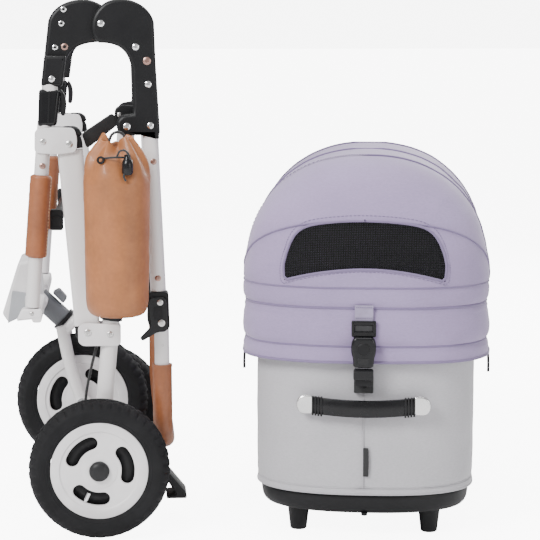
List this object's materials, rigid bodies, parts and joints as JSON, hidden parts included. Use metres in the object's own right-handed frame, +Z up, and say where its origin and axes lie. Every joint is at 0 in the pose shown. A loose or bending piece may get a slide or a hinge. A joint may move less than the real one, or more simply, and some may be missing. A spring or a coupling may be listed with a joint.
{
  "type": "pet stroller",
  "caption": "Folded three-wheel pet stroller chassis standing upright beside its detached, hooded, fabric pet carrier",
  "frame": {"origin": "On the floor under the middle of the whole part, chassis and carrier together; the floor is z = 0", "axes": "+Z up, -X is the way the chassis drives when open, +X is towards the carrier, -Y is the near side"},
  "size_m": [0.805, 0.5908, 0.8177],
  "materials": {
    "white_paint": "satin white powder coat",
    "white_rim": "satin white moulded plastic",
    "tyre": "matt black rubber with tread blocks",
    "black_plastic": "fine-grained black plastic",
    "black_steel": "black powder coat",
    "cable": "smooth black cable jacket",
    "grey_plastic": "matt dark grey plastic",
    "steel": "plated steel",
    "leather": "stitched tan synthetic leather",
    "pouch": "soft tan coated cloth",
    "lavender": "lavender woven cloth",
    "grey_fabric": "light grey padded cloth",
    "mesh": "black net",
    "strap": "black ribbed strap with satin metal end plates"
  },
  "bodies": {
    "carrier": {"carrier_base": "black_plastic", "carrier_wall": "grey_fabric", "carrier_mat": "grey_fabric", "carrier_rim_frame": "steel", "buckle_catch": "black_plastic", "carrier_handle": "strap"},
    "hood": {"hood": "lavender", "hood_window": "mesh", "hood_front_hoop": "steel", "hood_rear_hoop": "steel", "buckle_strap": "lavender"},
    "buckle": {"buckle_clip": "black_plastic"},
    "rear_axle": {"near_axle_pin": "steel", "far_axle_pin": "steel"},
    "near_rear_wheel": {"near_rear_tyre": "tyre", "near_rear_rim": "white_rim", "near_rear_hub_cap": "grey_plastic"},
    "far_rear_wheel": {"far_rear_tyre": "tyre", "far_rear_rim": "white_rim", "far_rear_hub_cap": "grey_plastic"},
    "rear_legs": {"near_rear_leg": "white_paint", "far_rear_leg": "white_paint", "near_rail_bracket": "white_paint", "far_rail_bracket": "white_paint", "rear_beam": "black_steel", "brake_cable": "cable", "storage_pouch": "pouch", "pouch_collar": "black_plastic"},
    "brake_pedal": {"brake_pedal": "black_plastic"},
    "rails": {"near_rail": "white_paint", "far_rail": "white_paint", "rail_cross_bar": "black_plastic"},
    "handle_arms": {"near_handle_elbow": "black_plastic", "far_handle_elbow": "black_plastic", "near_handle_tube": "white_paint", "far_handle_tube": "white_paint", "near_handle_adjuster": "black_plastic", "far_handle_adjuster": "black_plastic"},
    "handle_bow": {"handle_bow": "white_paint", "handle_grip": "leather"},
    "near_adjuster_lever": {"near_adjuster_lever": "black_plastic"},
    "far_adjuster_lever": {"far_adjuster_lever": "black_plastic"},
    "front_legs": {"near_leg_elbow": "black_plastic", "far_leg_elbow": "black_plastic", "near_front_leg": "white_paint", "far_front_leg": "white_paint", "near_leg_bracket": "white_paint", "far_leg_bracket": "white_paint", "near_leg_sleeve": "leather", "far_leg_sleeve": "leather", "leg_cross_bar": "black_plastic", "front_bridge": "white_rim", "steering_head": "grey_plastic"},
    "near_lock_trigger": {"near_lock_trigger": "black_plastic"},
    "far_lock_trigger": {"far_lock_trigger": "black_plastic"},
    "caster_lock": {"caster_lock": "grey_plastic"},
    "fork": {"fork": "white_paint", "front_axle_bolt": "steel"},
    "front_wheel": {"front_tyre": "tyre", "front_rim": "white_rim"}
  },
  "joints": [
    {"name": "hood_open", "type": "hinge", "parent": "carrier", "child": "hood", "pos_m": [0.23169, 0.28491, 0.268], "axis": [-0.9894, 0.1452, 0], "range_deg": [0, 100]},
    {"name": "buckle_release", "type": "slide", "parent": "hood", "child": "buckle", "axis": [-0.1452, -0.9894, 0], "range_m": [0, 0.015]},
    {"name": "chassis_roll", "type": "slide", "parent": "carrier", "child": "rear_axle", "axis": [-1, 0, 0], "range_m": [0, 0.7205]},
    {"name": "near_wheel_spin", "type": "hinge", "parent": "rear_axle", "child": "near_rear_wheel", "pos_m": [-0.24655, -0.21808, 0.108], "axis": [0, 1, 0], "continuous": true},
    {"name": "far_wheel_spin", "type": "hinge", "parent": "rear_axle", "child": "far_rear_wheel", "pos_m": [-0.24655, 0.26192, 0.108], "axis": [0, 1, 0], "continuous": true},
    {"name": "frame_rock", "type": "hinge", "parent": "rear_axle", "child": "rear_legs", "pos_m": [-0.24655, 0.02192, 0.108], "axis": [0, -1, 0], "range_deg": [0, 11.22]},
    {"name": "pedal_press", "type": "hinge", "parent": "rear_legs", "child": "brake_pedal", "pos_m": [-0.15855, 0.02192, 0.072], "axis": [0, 1, 0], "range_deg": [0, 15]},
    {"name": "rail_swing", "type": "hinge", "parent": "rear_legs", "child": "rails", "pos_m": [-0.26295, 0.02192, 0.3126], "axis": [0, -1, 0], "range_deg": [0, 51.69]},
    {"name": "handle_swing", "type": "hinge", "parent": "rear_legs", "child": "handle_arms", "pos_m": [-0.20145, 0.02192, 0.6264], "axis": [0, -1, 0], "range_deg": [0, 115.05]},
    {"name": "frame_fold", "type": "hinge", "parent": "handle_arms", "child": "front_legs", "pos_m": [-0.23925, 0.02192, 0.781], "axis": [0, 1, 0], "range_deg": [0, 172.6]},
    {"name": "handle_tilt", "type": "hinge", "parent": "handle_arms", "child": "handle_bow", "pos_m": [-0.15055, 0.02192, 0.327], "axis": [0, -1, 0], "range_deg": [0, 30]},
    {"name": "near_lever_squeeze", "type": "hinge", "parent": "handle_arms", "child": "near_adjuster_lever", "pos_m": [-0.15055, -0.19278, 0.327], "axis": [0, -1, 0], "range_deg": [0, 12]},
    {"name": "near_trigger_squeeze", "type": "hinge", "parent": "front_legs", "child": "near_lock_trigger", "pos_m": [-0.30155, -0.17608, 0.689], "axis": [0, 1, 0], "range_deg": [0, 4.5]},
    {"name": "far_lever_squeeze", "type": "hinge", "parent": "handle_arms", "child": "far_adjuster_lever", "pos_m": [-0.15055, 0.23662, 0.327], "axis": [0, -1, 0], "range_deg": [0, 12]},
    {"name": "far_trigger_squeeze", "type": "hinge", "parent": "front_legs", "child": "far_lock_trigger", "pos_m": [-0.30155, 0.21992, 0.689], "axis": [0, 1, 0], "range_deg": [0, 4.5]},
    {"name": "caster_lock_flip", "type": "hinge", "parent": "front_legs", "child": "caster_lock", "pos_m": [-0.31855, 0.02192, 0.3455], "axis": [0, -1, 0], "range_deg": [0, 20]},
    {"name": "caster_swivel", "type": "hinge", "parent": "front_legs", "child": "fork", "pos_m": [-0.31385, 0.02192, 0.3076], "axis": [0.7239, 0, -0.6899], "continuous": true},
    {"name": "front_wheel_spin", "type": "hinge", "parent": "fork", "child": "front_wheel", "pos_m": [-0.27605, 0.02192, 0.1693], "axis": [0, 1, 0], "continuous": true}
  ],
  "couplings": [
    {"joint": "handle_swing", "follows": "frame_fold", "ratio": 0.66647},
    {"joint": "rail_swing", "follows": "frame_fold", "ratio": 0.29936},
    {"joint": "frame_rock", "follows": "frame_fold", "ratio": 0.06487},
    {"joint": "chassis_roll", "follows": "frame_fold", "m_per_rad": 0.239}
  ]
}
